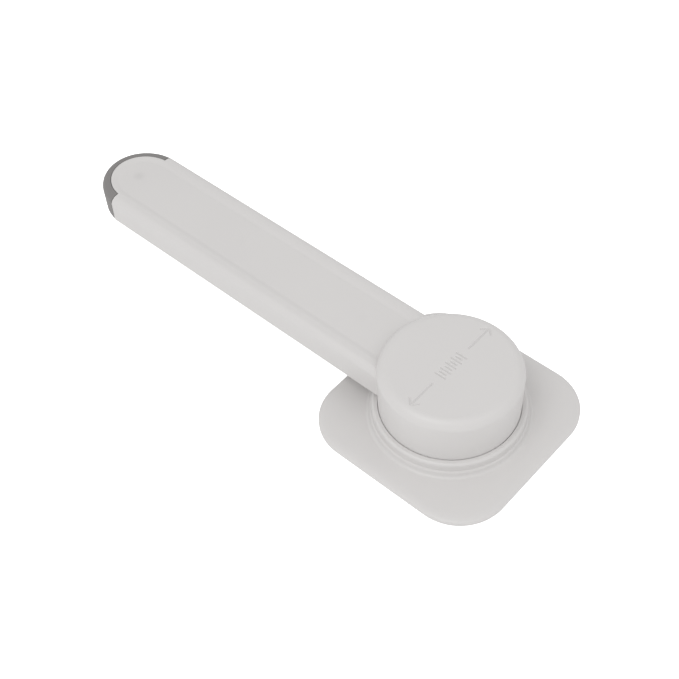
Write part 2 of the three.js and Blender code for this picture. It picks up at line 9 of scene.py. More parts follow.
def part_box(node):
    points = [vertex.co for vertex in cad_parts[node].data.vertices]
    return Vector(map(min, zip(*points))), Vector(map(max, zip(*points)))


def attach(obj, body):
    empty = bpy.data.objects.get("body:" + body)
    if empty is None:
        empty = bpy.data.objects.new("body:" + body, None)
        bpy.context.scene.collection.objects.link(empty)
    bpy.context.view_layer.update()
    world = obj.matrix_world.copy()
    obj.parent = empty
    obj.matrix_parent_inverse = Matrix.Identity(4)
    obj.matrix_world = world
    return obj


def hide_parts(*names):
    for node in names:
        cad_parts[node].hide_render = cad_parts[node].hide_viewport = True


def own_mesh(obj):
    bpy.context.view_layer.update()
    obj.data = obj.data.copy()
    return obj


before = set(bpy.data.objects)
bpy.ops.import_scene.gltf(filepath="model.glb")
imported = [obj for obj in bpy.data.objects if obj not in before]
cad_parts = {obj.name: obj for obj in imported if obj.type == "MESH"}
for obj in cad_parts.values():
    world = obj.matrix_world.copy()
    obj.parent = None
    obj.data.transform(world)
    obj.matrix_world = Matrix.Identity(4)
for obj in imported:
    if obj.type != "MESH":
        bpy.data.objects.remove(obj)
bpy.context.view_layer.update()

MM = 0.001

# --- Studio -------------------------------------------------------------------------------------------
# A seamless white table in a large white tent. A soft key light stands high to the left of the camera,
# and a weaker one fills from the right. The camera looks down at the latch from one corner of its base.
look_at = Vector((-48.77, 1.23, 0.0)) * MM
camera_azimuth = math.radians(44.7)
camera_elevation = math.radians(49.9)
camera_roll = math.radians(3.86)
camera_distance = 414.1 * MM
camera_lens = 63.86
lamp_distance = 0.9
tent_strength = 0.715
table_half = 3.0
table_grey = 0.89
table_glow = 0.15
table_seen_glow = 0.8


def aim(azimuth, elevation, roll=0.0):
    """Axes of something that looks back at the middle from an azimuth and elevation: right, up, back."""
    back = Vector(
        (
            math.sin(azimuth) * math.cos(elevation),
            -math.cos(azimuth) * math.cos(elevation),
            math.sin(elevation),
        )
    )
    right = Vector((math.cos(azimuth), math.sin(azimuth), 0.0))
    up = back.cross(right)
    turned_right = math.cos(roll) * right - math.sin(roll) * up
    turned_up = math.sin(roll) * right + math.cos(roll) * up
    return turned_right, turned_up, back


def stand(thing, azimuth, elevation, distance, roll=0.0):
    """Places a camera or lamp on a sphere round the point that it looks at."""
    right, up, back = aim(azimuth, elevation, roll)
    turn = Matrix((right, up, back)).transposed().to_4x4()
    thing.matrix_world = Matrix.Translation(look_at + distance * back) @ turn


camera_data = bpy.data.cameras.new("studio_camera")
camera_data.lens = camera_lens
camera_data.sensor_width = 36.0
camera_data.clip_start = 0.01
camera = bpy.data.objects.new("studio_camera", camera_data)
bpy.context.scene.collection.objects.link(camera)
stand(camera, camera_azimuth, camera_elevation, camera_distance, camera_roll)
bpy.context.scene.camera = camera


def soft_lamp(name, azimuth, elevation, size, watts):
    """A square lamp that faces the object. Its angles are in degrees, its side in metres."""
    data = bpy.data.lights.new(name, "AREA")
    data.shape = "SQUARE"
    data.size = size
    data.energy = watts
    lamp = bpy.data.objects.new(name, data)
    bpy.context.scene.collection.objects.link(lamp)
    stand(lamp, math.radians(azimuth), math.radians(elevation), lamp_distance)


soft_lamp("key_lamp", 8, 60, 0.5, 2.15)
soft_lamp("fill_lamp", 100, 50, 0.6, 0.5)

world = bpy.data.worlds.new("light_tent")
bpy.context.scene.world = world
world.use_nodes = True
# The tent and the table glow white where the camera sees them, and more weakly on the object.
tent = world.node_tree.nodes["Background"]
tent.inputs["Color"].default_value = (1.0, 1.0, 1.0, 1.0)
tent_seen = world.node_tree.nodes.new("ShaderNodeLightPath")
tent_glow = world.node_tree.nodes.new("ShaderNodeMath")
tent_glow.operation = "MULTIPLY_ADD"
tent_glow.inputs[1].default_value = 1.0 - tent_strength
tent_glow.inputs[2].default_value = tent_strength
world.node_tree.links.new(tent_seen.outputs["Is Camera Ray"], tent_glow.inputs[0])
world.node_tree.links.new(tent_glow.outputs[0], tent.inputs["Strength"])
bpy.context.scene.view_settings.view_transform = "Standard"

table_mesh = bpy.data.meshes.new("white_table")
table_mesh.from_pydata(
    [(x * table_half, y * table_half, 0.0) for x, y in ((-1, -1), (1, -1), (1, 1), (-1, 1))],
    [],
    [(0, 1, 2, 3)],
)
table = bpy.data.objects.new("white_table", table_mesh)
bpy.context.scene.collection.objects.link(table)
table_paint = bpy.data.materials.new("white_table")
table_paint.use_nodes = True
table_tree = table_paint.node_tree
table_shader = table_tree.nodes["Principled BSDF"]
table_shader.inputs["Base Color"].default_value = (table_grey, table_grey, table_grey, 1.0)
table_shader.inputs["Roughness"].default_value = 0.9
table_shader.inputs["Emission Strength"].default_value = 1.0
seen = table_tree.nodes.new("ShaderNodeLightPath")
glow = table_tree.nodes.new("ShaderNodeMath")
glow.operation = "MULTIPLY_ADD"
glow.inputs[1].default_value = table_seen_glow
glow.inputs[2].default_value = table_glow
table_tree.links.new(seen.outputs["Is Camera Ray"], glow.inputs[0])
table_tree.links.new(glow.outputs[0], table_shader.inputs["Emission Color"])
table_mesh.materials.append(table_paint)

# --- Adhesive pad -------------------------------------------------------------------------------------
# A square of closed-cell foam tape with rounded corners, die cut a little smaller than the plate that it
# holds. Its lower face is glued to the furniture, so only its pale edge shows.
pad_high = np.array(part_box("adhesive_pad")[1])
plate_low, plate_high = (np.array(corner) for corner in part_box("base_plate"))
plate_half = plate_high[1]
plate_corner = 17.2 * MM
pad_half = pad_high[1]
pad_corner = plate_corner - (plate_half - pad_half)
pad_edge = 0.15 * MM
foam_cell = 0.35 * MM
full_turn = np.linspace(0.0, 2 * math.pi, 360, endpoint=False)


class Wire:
    """A shader socket. Sums, differences and products of wires add Math nodes to the same tree."""

    def __init__(self, tree, socket=None):
        self.tree = tree
        self.socket = socket

    def node(self, kind, settings, inputs, output=0):
        """Adds a node: its settings are set first, then its sockets get values or links."""
        made = self.tree.nodes.new(kind)
        for key, value in settings.items():
            if key != "stops":
                setattr(made, key, value)
                continue
            ramp = made.color_ramp
            for place, colour in value[2:]:
                ramp.elements.new(place).color = colour
            for element, (place, colour) in zip(ramp.elements, sorted(value)):
                element.position = place
                element.color = colour
        for key, value in inputs.items():
            if isinstance(value, Wire):
                self.tree.links.new(value.socket, made.inputs[key])
            else:
                made.inputs[key].default_value = value
        return Wire(self.tree, made.outputs[output])

    def math(self, operation, first, second):
        return self.node("ShaderNodeMath", {"operation": operation}, {0: first, 1: second})

    def __add__(self, other):
        return self.math("ADD", self, other)

    def __radd__(self, other):
        return self.math("ADD", other, self)

    def __sub__(self, other):
        return self.math("SUBTRACT", self, other)

    def __rsub__(self, other):
        return self.math("SUBTRACT", other, self)

    def __mul__(self, other):
        return self.math("MULTIPLY", self, other)

    def __rmul__(self, other):
        return self.math("MULTIPLY", other, self)


def new_finish(name):
    """A material with a Principled shader, and wires to its tree, its shader and its coordinates."""
    finish = bpy.data.materials.new(name)
    finish.use_nodes = True
    tree = finish.node_tree
    shader = tree.nodes["Principled BSDF"]
    place = Wire(tree).node("ShaderNodeTexCoord", {}, {}, "Object")
    return finish, shader, place


def noise(place, size, detail=2.0, roughness=0.5):
    """Soft noise whose blotches are about size metres across, as a wire from 0 to 1."""
    inputs = {"Vector": place, "Scale": 1.0 / size, "Detail": detail, "Roughness": roughness}
    return place.node("ShaderNodeTexNoise", {}, inputs, "Fac")


def blend_colours(mask, first, second):
    """The first colour where the mask is 0, the second where it is 1."""
    settings = {"data_type": "RGBA"}
    return mask.node("ShaderNodeMix", settings, {0: mask, 6: first, 7: second}, 2)


def feed(shader, **inputs):
    """Links wires, or sets values, on the shader's sockets."""
    for key, value in inputs.items():
        socket = shader.inputs[key.replace("_", " ")]
        if isinstance(value, Wire):
            value.tree.links.new(value.socket, socket)
        else:
            socket.default_value = value


def foam_finish():
    """Closed-cell foam: matt off-white, pitted by small cells."""
    finish, shader, place = new_finish("foam_tape")
    cells = place.node("ShaderNodeTexVoronoi", {}, {"Vector": place, "Scale": 1 / foam_cell}, "Distance")
    shade = blend_colours(noise(place, 2.5 * MM), (0.60, 0.595, 0.585, 1), (0.66, 0.655, 0.645, 1))
    bump = place.node(
        "ShaderNodeBump", {}, {"Height": cells, "Strength": 0.5, "Distance": 0.08 * MM}, "Normal"
    )
    feed(shader, Base_Color=shade, Roughness=0.9, Normal=bump)
    return finish


def square_reach(angle, half, corner):
    """Distance from the middle of a round-cornered square to its outline along an angle: to the side
    where the ray meets its straight part, otherwise to the far crossing of the corner's circle."""
    along, across = np.abs(np.cos(angle)), np.abs(np.sin(angle))
    flat = half - corner
    side = half / np.maximum(along, across)
    middle = flat * (along + across)
    to_arc = middle + np.sqrt(np.maximum(middle**2 - 2 * flat**2 + corner**2, 0.0))
    return np.where(side * np.minimum(along, across) <= flat, side, to_arc)


def rounded(corners, steps=6):
    """Closed outline through corners of (a, b, radius). A corner with a radius becomes an arc that
    touches both sides, with a point a little before and after it that keeps the sides flat."""
    corners = np.array(corners, float)
    before = np.roll(corners, 1, 0)
    after = np.roll(corners, -1, 0)
    points = []
    for here, last, next_ in zip(corners, before, after):
        radius = here[2]
        if radius == 0:
            points.append(here[None, :2])
            continue
        back = (last - here)[:2] / np.linalg.norm((last - here)[:2])
        ahead = (next_ - here)[:2] / np.linalg.norm((next_ - here)[:2])
        half_angle = math.acos(np.clip(back @ ahead, -1, 1)) / 2
        tangent = radius / math.tan(half_angle)
        middle = here[:2] + (back + ahead) / np.linalg.norm(back + ahead) * radius / math.sin(half_angle)
        start = here[:2] + back * tangent - middle
        end = here[:2] + ahead * tangent - middle
        sweep = np.linspace(0.0, 1.0, steps + 1)[:, None]
        turn = math.pi - 2 * half_angle
        arc = (np.sin((1 - sweep) * turn) * start + np.sin(sweep * turn) * end) / math.sin(turn)
        pause = min(0.35 * radius, 0.12 * MM)
        points.append(here[None, :2] + back * (tangent + pause))
        points.append(middle + arc)
        points.append(here[None, :2] + ahead * (tangent + pause))
    return np.concatenate(points)


def skin(points, close_rows=False, close_columns=False, cap_rows=False, cap_columns=False):
    """Faces over a grid of points: point (i, j) is joined to (i, j + 1), (i + 1, j + 1) and (i + 1, j).
    A closed direction joins its last line to its first, and a cap covers the first and last line."""
    rows, columns = points.shape[:2]
    index = np.arange(rows * columns).reshape(rows, columns)
    if close_rows:
        index = np.concatenate([index, index[:1]])
    if close_columns:
        index = np.concatenate([index, index[:, :1]], 1)
    quads = np.stack([index[:-1, :-1], index[:-1, 1:], index[1:, 1:], index[1:, :-1]], -1)
    faces = quads.reshape(-1, 4).tolist()
    whole = np.arange(rows * columns).reshape(rows, columns)
    if cap_rows:
        faces += [whole[0, ::-1].tolist(), whole[-1].tolist()]
    if cap_columns:
        faces += [whole[:, 0].tolist(), whole[::-1, -1].tolist()]
    return points.reshape(-1, 3), faces


def tidy_mesh(mesh, crease):
    """Merges doubles, turns every face outwards and marks edges sharper than crease degrees."""
    work = bmesh.new()
    work.from_mesh(mesh)
    bmesh.ops.remove_doubles(work, verts=work.verts, dist=1e-7)
    bmesh.ops.dissolve_degenerate(work, edges=work.edges, dist=1e-7)
    bmesh.ops.recalc_face_normals(work, faces=work.faces)
    work.to_mesh(mesh)
    work.free()
    mesh.polygons.foreach_set("use_smooth", np.ones(len(mesh.polygons), bool))
    mesh.set_sharp_from_angle(angle=math.radians(crease))


def piece(name, skins, finish, body, slot, *nodes, crease=35.0):
    """One object from one or more skins: doubles merged, normals outwards, smooth but for creases."""
    vertices, faces = [], []
    for points, polygons in skins:
        offset = sum(len(v) for v in vertices)
        vertices.append(points)
        faces += [[corner + offset for corner in polygon] for polygon in polygons]
    mesh = bpy.data.meshes.new(name)
    mesh.from_pydata(np.concatenate(vertices).tolist(), [], faces)
    made = bpy.data.objects.new(name, mesh)
    bpy.context.scene.collection.objects.link(made)
    tidy_mesh(mesh, crease)
    mesh.materials.append(finish)
    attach(made, body)
    if nodes:
        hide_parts(*nodes)
    return made


def revolve(profile, angles, reach=None):
    """A profile of (radius, height) carried round the vertical axis. Where reach is given, a point's
    radius is first looked up there, so that a ring can be square and the next one round."""
    radius = profile[:, :1] + 0 * angles[None, :] if reach is None else reach
    height = profile[:, 1:2] + 0 * angles[None, :]
    return np.stack([radius * np.cos(angles), radius * np.sin(angles), height], -1)


pad_outline = rounded(
    [(0.5 * pad_half, 0.0, 0), (pad_half, 0.0, pad_edge), (pad_half, pad_high[2], pad_edge),
     (0.5 * pad_half, pad_high[2], 0)], 3
)
pad_reach = np.stack([square_reach(full_turn, r, pad_corner - pad_half + r) for r in pad_outline[1:-1, 0]])
pad_grid = revolve(pad_outline[1:-1], full_turn, pad_reach)
piece(
    "foam_pad",
    [skin(pad_grid, close_columns=True, cap_rows=True)],
    foam_finish(),
    "base",
    "foam_tape",
    "adhesive_pad",
)

# --- Base plate ---------------------------------------------------------------------------------------
# One moulding in white ABS: a thin square plate whose edge rolls down to the pad, a collar that rises
# from it in a fillet, and inside the collar the channel for the hub's skirt and the pivot tower.
plate_top = 3.0 * MM
plate_roll = 3.6 * MM
plate_roll_drop = 0.8 * MM
collar_top = 8.0 * MM
collar_outer = 25.0 * MM
collar_inner = 23.12 * MM
collar_round = 1.0 * MM
collar_draft = 0.25 * MM
foot_outer = 25.7 * MM
foot_top = 4.6 * MM
foot_fillet = 0.6 * MM
channel_floor = 4.4 * MM
channel_inner = 20.8 * MM
web_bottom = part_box("pivot_bush")[0][2]
web_thickness = 2.0 * MM
web_top = web_bottom + web_thickness
recess_radius = 10.6 * MM
tower_radius = 15.8 * MM
tower_bore = 8.0 * MM
tower_top = plate_high[2]


def plastic_finish(name, dark, light, roughness, grain_depth=0.007 * MM, sink_shades=(), marks=0.0):
    """Moulded plastic with a fine spark-eroded grain: the colour drifts a little over centimetres, the
    gloss over millimetres, and two sizes of noise lift the surface by hundredths of a millimetre.
    Round a sink, given as (middle, radius, strength), painted shade darkens the colour in place of the
    sink mark's shading, and marks get painted shade too, where the mesh holds an attribute of that name."""
    finish, shader, place = new_finish(name)
    drift = noise(place, 22 * MM, 3.0)
    fine = noise(place, 0.22 * MM, 3.0, 0.6)
    coarse = noise(place, 1.1 * MM, 2.0)
    shade = blend_colours(drift, dark, light)
    # Painted shade: each sink darkens the colour round its middle, standing in for the sink mark's
    # shading.
    for middle, radius, strength in sink_shades:
        away = place.node("ShaderNodeVectorMath", {"operation": "DISTANCE"}, {0: place, 1: middle}, 1)
        stops = {0: away, "From Max": radius, "To Min": strength, "To Max": 0.0}
        ring = away.node("ShaderNodeMapRange", {"interpolation_type": "SMOOTHSTEP"}, stops, 0)
        shade = blend_colours(ring, shade, (0.0, 0.0, 0.0, 1))
    # Painted shade in the cut marks: the colour darkens where the marks attribute says a point is cut.
    if marks:
        cut = place.node("ShaderNodeAttribute", {"attribute_name": "marks"}, {}, "Fac")
        shade = blend_colours(marks * cut, shade, (0.0, 0.0, 0.0, 1))
    gloss = roughness - 0.05 + 0.06 * coarse + 0.05 * fine
    bump = place.node(
        "ShaderNodeBump",
        {},
        {"Height": fine + 0.35 * coarse, "Strength": 0.55, "Distance": grain_depth},
        "Normal",
    )
    feed(shader, Base_Color=shade, Roughness=gloss, Normal=bump)
    return finish


white_tones = (0.655, 0.640, 0.632, 1), (0.675, 0.660, 0.650, 1)
white_gloss = 0.42
white = plastic_finish("white_abs", *white_tones, white_gloss)

roll_turn = np.linspace(0.0, math.pi / 2, 12)
plate_edge = np.stack(
    [
        plate_half - plate_roll * (1 - np.cos(roll_turn)),
        plate_top - plate_roll_drop * (1 - np.sin(roll_turn)),
    ],
    -1,
)
under = rounded(
    [(30 * MM, plate_low[2], 0), (plate_half, plate_low[2], 0.3 * MM), (plate_half, plate_top, 0)], 3
)[1:-1]
round_part = rounded(
    [
        (foot_outer + 4 * foot_fillet, plate_top, 0),
        (foot_outer + foot_fillet, plate_top, 2 * foot_fillet),
        (foot_outer, foot_top, foot_fillet),
        (collar_outer + collar_draft, foot_top + 0.5 * MM, foot_fillet),
        (collar_outer, collar_top, collar_round),
        (collar_inner, collar_top, 0.15 * MM),
        (collar_inner, channel_floor, 0.3 * MM),
        (channel_inner, channel_floor, 0.3 * MM),
        (channel_inner, web_top, 0.3 * MM),
        (tower_radius, web_top, 0.3 * MM),
        (tower_radius, tower_top, 0.3 * MM),
        (tower_bore, tower_top, 0.3 * MM),
        (tower_bore, web_bottom, 0.2 * MM),
        (recess_radius, web_bottom, 0.2 * MM),
        (recess_radius, plate_low[2], 0.2 * MM),
    ],
    5,
)
square_part = np.concatenate([under, plate_edge])
square_rings = np.stack(
    [square_reach(full_turn, r, plate_corner - plate_half + r) for r in square_part[:, 0]]
)
round_rings = np.repeat(round_part[:, :1], full_turn.size, 1)
base_grid = revolve(
    np.concatenate([square_part, round_part]), full_turn, np.concatenate([square_rings, round_rings])
)
piece(
    "base_moulding",
    [skin(base_grid, close_rows=True, close_columns=True)],
    white,
    "base",
    "white_plastic",
    "base_plate",
)

# --- Ring, its screws and the pivot bush --------------------------------------------------------------
# Turned and moulded parts that the hub hides: an acetal ring with 24 teeth, an acetal bush, and three
# zinc-plated screws that hold the ring on the tower.


def steel_finish(name, dark, light, roughness, streak):
    """Plated steel: a clear metal whose tone and gloss drift in patches as wide as a streak."""
    finish, shader, place = new_finish(name)
    patches = noise(place, streak, 4.0, 0.65)
    shade = blend_colours(patches, dark, light)
    gloss = roughness + 0.12 * patches
    bump = place.node(
        "ShaderNodeBump", {}, {"Height": patches, "Strength": 0.3, "Distance": 0.01 * MM}, "Normal"
    )
    feed(shader, Base_Color=shade, Metallic=1.0, Roughness=gloss, Normal=bump)
    return finish


def refinish(finish, *names):
    """Gives CAD nodes that stay as they are a finish of their own."""
    for name in names:
        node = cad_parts[name]
        node.data.materials.clear()
        node.data.materials.append(finish)


acetal = plastic_finish("acetal", (0.78, 0.76, 0.70, 1), (0.84, 0.82, 0.77, 1), 0.34, 0.004 * MM)
zinc = steel_finish("zinc_plate", (0.50, 0.51, 0.53, 1), (0.66, 0.67, 0.69, 1), 0.26, 0.8 * MM)
wire_steel = steel_finish("spring_wire", (0.36, 0.37, 0.39, 1), (0.50, 0.51, 0.53, 1), 0.30, 0.5 * MM)
refinish(acetal, "index_ring", "pivot_bush")
refinish(zinc, "ring_screw_1", "ring_screw_2", "ring_screw_3")

# --- Arm shell ----------------------------------------------------------------------------------------
# The arm's top and the hub are one moulding in the same white ABS: a shallow channel open below, with a
# sunk panel along its top and a tongue over the grip, and a round cap with marks cut in its top.
shell_low, shell_high = (np.array(corner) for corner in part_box("arm_shell"))
grip_low, grip_high = (np.array(corner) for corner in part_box("release_grip"))
arm_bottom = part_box("arm_cover")[0][2]
arm_top = grip_high[2]
arm_half = 15.0 * MM
arm_wall = 1.9 * MM
arm_round = 2.6 * MM
arm_tip = grip_low[0]
nose_length = 16.6 * MM
nose_start = arm_tip + nose_length
rim_width = 3.8 * MM
slope_width = 2.5 * MM
panel_depth = 0.45 * MM
tongue_inset = 3.45 * MM
wall_end = -143.8 * MM
wall_end_lean = 0.35 * MM
wall_corner = 0.5 * MM
boss_places = (-36.9 * MM, -91.9 * MM, -144.8 * MM)
sink_depth = 0.05 * MM
sink_radius = 3.0 * MM
# Painted shade over the sinks: how dark it gets at each boss, darkest at the tip, and how far it reaches.
sink_painted_shades = (0.012, 0.012, 0.085)
sink_shade_radius = 3.2 * MM
boss_radius = 3.2 * MM
boss_foot = 13.8 * MM
hub_radius = shell_high[0]
hub_top = shell_high[2]
hub_round = 3.3 * MM
hub_flare = 0.2 * MM
skirt_bottom = 4.9 * MM


def smooth(t):
    """A soft step from 0 to 1: three t squared minus two t cubed."""
    t = np.clip(t, 0.0, 1.0)
    return t * t * (3 - 2 * t)


def arm_inset(x, y):
    """Distance from the arm's outline inwards: to the straight side, or along the ray from the middle
    of the nose's ellipse to its edge."""
    past = np.maximum(nose_start - x, 0.0)
    share = np.hypot(past / nose_length, y / arm_half)
    ray = np.hypot(past, y)
    return np.where(share < 1e-6, arm_half, ray * (1 - share) / np.maximum(share, 1e-6))


def arm_height(x, y):
    """Height of the arm's top: a quarter-round edge, a flat rim, a soft step down to the panel, and a
    faint sink over each boss."""
    inset = arm_inset(x, y)
    short = np.clip(arm_round - inset, 0.0, arm_round)
    edge = arm_round - np.sqrt(arm_round**2 - short**2)
    panel = panel_depth * smooth((inset - rim_width) / slope_width)
    sink = sum(np.exp(-((x - place) ** 2 + y**2) / sink_radius**2) for place in boss_places)
    return arm_top - edge - panel - sink_depth * sink


def wall_face(z):
    """Where the side wall ends: it leans towards the tip lower down, and its upper corner is soft."""
    drop = (arm_top - arm_round - z) / (arm_top - arm_round - arm_bottom)
    lean = wall_end_lean * np.clip(drop, 0.0, 1.0)
    return wall_end - lean + wall_corner * smooth((z - arm_top + arm_round) / arm_round)


def arm_section():
    """Half of the arm's section from the foot of its wall to its middle, as columns: outer y, outer z
    (unset on top, where the height follows from the place), inner y, inner z, and the far end's x."""
    side = np.linspace(0.0, 1.0, 9)
    spring = arm_top - arm_round
    side_z = arm_bottom + (spring - arm_bottom) * side
    inner_half = arm_half - arm_wall
    wall = [np.full(9, arm_half), side_z, np.full(9, inner_half), side_z, wall_face(side_z)]

    face = nose_start - wall_end - wall_corner
    sweep = np.linspace(math.acos(face / (nose_length - tongue_inset)), 0.0, 48)
    tongue_y = (arm_half - tongue_inset) * np.sin(sweep)
    tongue_x = nose_start - (nose_length - tongue_inset) * np.cos(sweep)
    turn = np.linspace(0.0, math.pi / 2, 14)[1:]
    bend_y = arm_half - arm_round * (1 - np.cos(turn))
    top_y = np.concatenate([bend_y, np.linspace(bend_y[-1], tongue_y[0], 6)[1:-1]])
    top_z = np.concatenate([spring + arm_round * np.sin(turn), np.full(4, arm_top)])
    ceiling = arm_top - arm_wall
    share = np.linspace(0.0, 1.0, top_y.size + 1)[1:]
    inner_y = np.minimum(inner_half, top_y)
    inner_z = spring + (ceiling - spring) * np.minimum(1, 2 * share)
    unset = np.full(top_y.size, np.nan)
    shoulder = [top_y, unset, inner_y, inner_z, wall_face(top_z)]
    tongue = [tongue_y, np.full(48, np.nan), tongue_y, np.full(48, ceiling), tongue_x]
    return np.concatenate([np.stack(part, -1) for part in (wall, shoulder, tongue)])


def arm_grid():
    """The arm's wall as a closed grid. Each column is a loop: out along the outer face, round the far
    end with a small radius, and back along the inner face to the hub."""
    half = arm_section()
    other = half[-2::-1] * [-1, 1, -1, 1, 1]
    section = np.concatenate([half, other])
    outer_y, outer_z, inner_y, inner_z, far_x = (column[None, :] for column in section.T)
    near_x = -np.sqrt((hub_radius - 0.5 * arm_wall) ** 2 - outer_y**2)
    lip = 0.25 * MM
    near_tip = 14 * MM
    fine = lip + np.linspace(0.0, near_tip, 46)
    length = near_x - far_x
    coarse = np.linspace(0.0, 1.0, 128)[1:, None] * (length - fine[-1]) + fine[-1]
    outer_run = np.concatenate([fine[:, None] + 0 * length, coarse])[::-1]
    turn = np.linspace(0.0, math.pi / 2, 5)[1:, None]
    corner_run = lip * (1 - np.sin(turn)) + 0 * length
    run = np.concatenate([outer_run, corner_run, corner_run[::-1], outer_run[::-12]])
    depth = np.concatenate(
        [
            0 * outer_run,
            lip / arm_wall * (1 - np.cos(turn)) + 0 * length,
            1 - lip / arm_wall * (1 - np.cos(turn[::-1])) + 0 * length,
            0 * outer_run[::-12] + 1,
        ]
    )
    x = far_x + run
    y = outer_y + (inner_y - outer_y) * depth
    face_z = np.where(np.isnan(outer_z), arm_height(x, outer_y + 0 * x), outer_z)
    z = face_z + (inner_z - face_z) * depth
    return np.stack([x, y, z], -1)


def bar(low, high, edge=0.2 * MM):
    """A box with rounded upright edges, as a closed skin: its outline carried up between two caps."""
    (x0, y0, z0), (x1, y1, z1) = low, high
    outline = rounded([(x0, y0, edge), (x1, y0, edge), (x1, y1, edge), (x0, y1, edge)], 3)
    heights = np.array([z0, z1])[:, None, None]
    flat = np.repeat(outline[None], 2, 0)
    grid = np.concatenate([flat, heights + 0 * flat[..., :1]], -1)
    return skin(grid, close_columns=True, cap_rows=True)


def post(x, y, radius, bottom, top):
    """A round post, as a closed skin."""
    angles = full_turn[::10]
    ring = np.stack([x + radius * np.cos(angles), y + radius * np.sin(angles)], -1)
    flat = np.repeat(ring[None], 2, 0)
    heights = np.array([bottom, top])[:, None, None]
    return skin(np.concatenate([flat, heights + 0 * flat[..., :1]], -1), close_columns=True, cap_rows=True)


# Marks cut in the hub's top: an arrow to each side, and a row of plain graduations between them.
mark_depth = 0.2 * MM
# How dark the painted shade in the cut marks gets, and the share of it on the arrows.
mark_painted_shade = 0.13
arrow_shade_share = 0.5
mark_bank = 0.24 * MM
arrow_start = 9.0 * MM
arrow_end = 19.6 * MM
arrow_half = 0.26 * MM
barb = 1.9 * MM
tick_count = 9
tick_pitch = 1.3 * MM
tick_half = 0.22 * MM
tick_long = 1.9 * MM
tick_short = 1.1 * MM


def mark_lines():
    """Every stroke as (points, half width), in the plane of the hub's top."""
    lines = []
    for side in (-1, 1):
        shaft = np.array([(0.0, side * arrow_start), (0.0, side * arrow_end)])
        back = side * (arrow_end - barb)
        tip = np.array([(-barb, back), (0.0, side * arrow_end), (barb, back)])
        lines += [(shaft, arrow_half), (tip, arrow_half)]
    for tick in range(tick_count):
        place = (tick - (tick_count - 1) / 2) * tick_pitch
        reach = tick_short if tick % 2 else tick_long
        lines.append((np.array([(-reach, place), (reach, place)]), tick_half))
    return lines


def mark_relief(x, y):
    """Depth of the marks at a place: full inside a stroke, and a bank of mark_bank at its edges."""
    point = np.stack([x, y], -1)
    nearest = np.full(x.shape, 1.0)
    for line, half in mark_lines():
        for start, end in zip(line[:-1], line[1:]):
            step = end - start
            share = np.clip(((point - start) @ step) / (step @ step), 0.0, 1.0)
            gap = np.linalg.norm(point - start - share[..., None] * step, axis=-1) - half
            nearest = np.minimum(nearest, gap)
    return mark_depth * smooth(0.5 - nearest / mark_bank)


def skin_with_foot(rings):
    """Rings joined into a skin whose last ring is covered."""
    points, faces = skin(rings, close_columns=True)
    last = np.arange(points.shape[0] - rings.shape[1], points.shape[0])
    return points, faces + [last.tolist()]


def hub_skins():
    """The hub's top as a square grid pressed into a disc, dense where the marks are, and the rest as
    rings outside it: down the side, under the skirt, up inside and down the spindle."""
    disc = 20.9 * MM
    dense = 3.6 * MM / disc
    across = np.concatenate(
        [np.linspace(-1, -dense, 14)[:-1], np.linspace(-dense, dense, 110), np.linspace(dense, 1, 14)[1:]]
    )
    stops = np.array([0.0, 6.6, 8.6, 9.4, 16.8, 20.3]) * MM / disc
    counts = (100, 6, 10, 40, 44)
    half = np.concatenate(
        [np.linspace(a, b, n, endpoint=False) for a, b, n in zip(stops[:-1], stops[1:], counts)]
        + [np.linspace(stops[-1], 1.0, 4)]
    )
    along = np.concatenate([-half[:0:-1], half])
    b, a = np.meshgrid(along, across, indexing="ij")
    x = disc * a * np.sqrt(1 - b**2 / 2)
    y = disc * b * np.sqrt(1 - a**2 / 2)
    radius = np.hypot(x, y)
    flat = hub_radius + hub_flare - hub_round
    past = np.clip(radius - flat, 0.0, hub_round)
    z = hub_top - hub_round + np.sqrt(hub_round**2 - past**2) - mark_relief(x, y)
    top = np.stack([x, y, z], -1)
    rim = np.concatenate([top[0, :-1], top[:-1, -1], top[-1, :0:-1], top[:0:-1, 0]])
    angles = np.arctan2(rim[:, 1], rim[:, 0])
    start = math.asin((disc - flat) / hub_round)
    turn = np.linspace(start, math.pi / 2, 14)
    edge = np.stack(
        [flat + hub_round * np.sin(turn), hub_top - hub_round + hub_round * np.cos(turn)], -1
    )
    edge[0] = disc, rim[0, 2]
    inner = hub_radius - arm_wall
    ceiling = hub_top - arm_wall
    spindle = 5.7 * MM
    shoulder = 9.0 * MM
    shoulder_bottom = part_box("pivot_bush")[1][2] + 0.3 * MM
    below = rounded(
        [
            (hub_radius + hub_flare, hub_top - hub_round, 0),
            (hub_radius, collar_top, 2 * MM),
            (hub_radius, skirt_bottom, 0.3 * MM),
            (inner, skirt_bottom, 0.3 * MM),
            (inner, ceiling, 0.6 * MM),
            (shoulder, ceiling, 0.6 * MM),
            (shoulder, shoulder_bottom, 0.2 * MM),
            (spindle, shoulder_bottom, 0.2 * MM),
            (spindle, shell_low[2], 0.2 * MM),
            (0.3 * spindle, shell_low[2], 0),
        ],
        4,
    )[1:-1]
    rings = revolve(np.concatenate([edge, below]), angles)
    rings[0] = rim
    return [skin(top), skin_with_foot(rings)]


def rib_skins():
    """Screw bosses, the spring's stop and the two rails for the rod, under the arm's top."""
    ceiling = arm_top - 0.5 * arm_wall
    rod_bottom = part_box("pull_rod")[0][2]
    spring_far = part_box("return_spring")[0][0]
    thickness = 1.4 * MM
    rail_side = 7.35 * MM
    rail_near = -48 * MM
    rail_far = -127 * MM
    posts = [post(x, 0.0, boss_radius, boss_foot, ceiling) for x in boss_places]
    stop_half = 2.3 * MM
    stop = bar((spring_far - thickness, -stop_half, rod_bottom), (spring_far, stop_half, ceiling))
    rails = [
        bar((rail_far, middle - thickness / 2, rod_bottom), (rail_near, middle + thickness / 2, ceiling))
        for middle in (rail_side + thickness / 2, -rail_side - thickness / 2)
    ]
    return posts + [stop] + rails
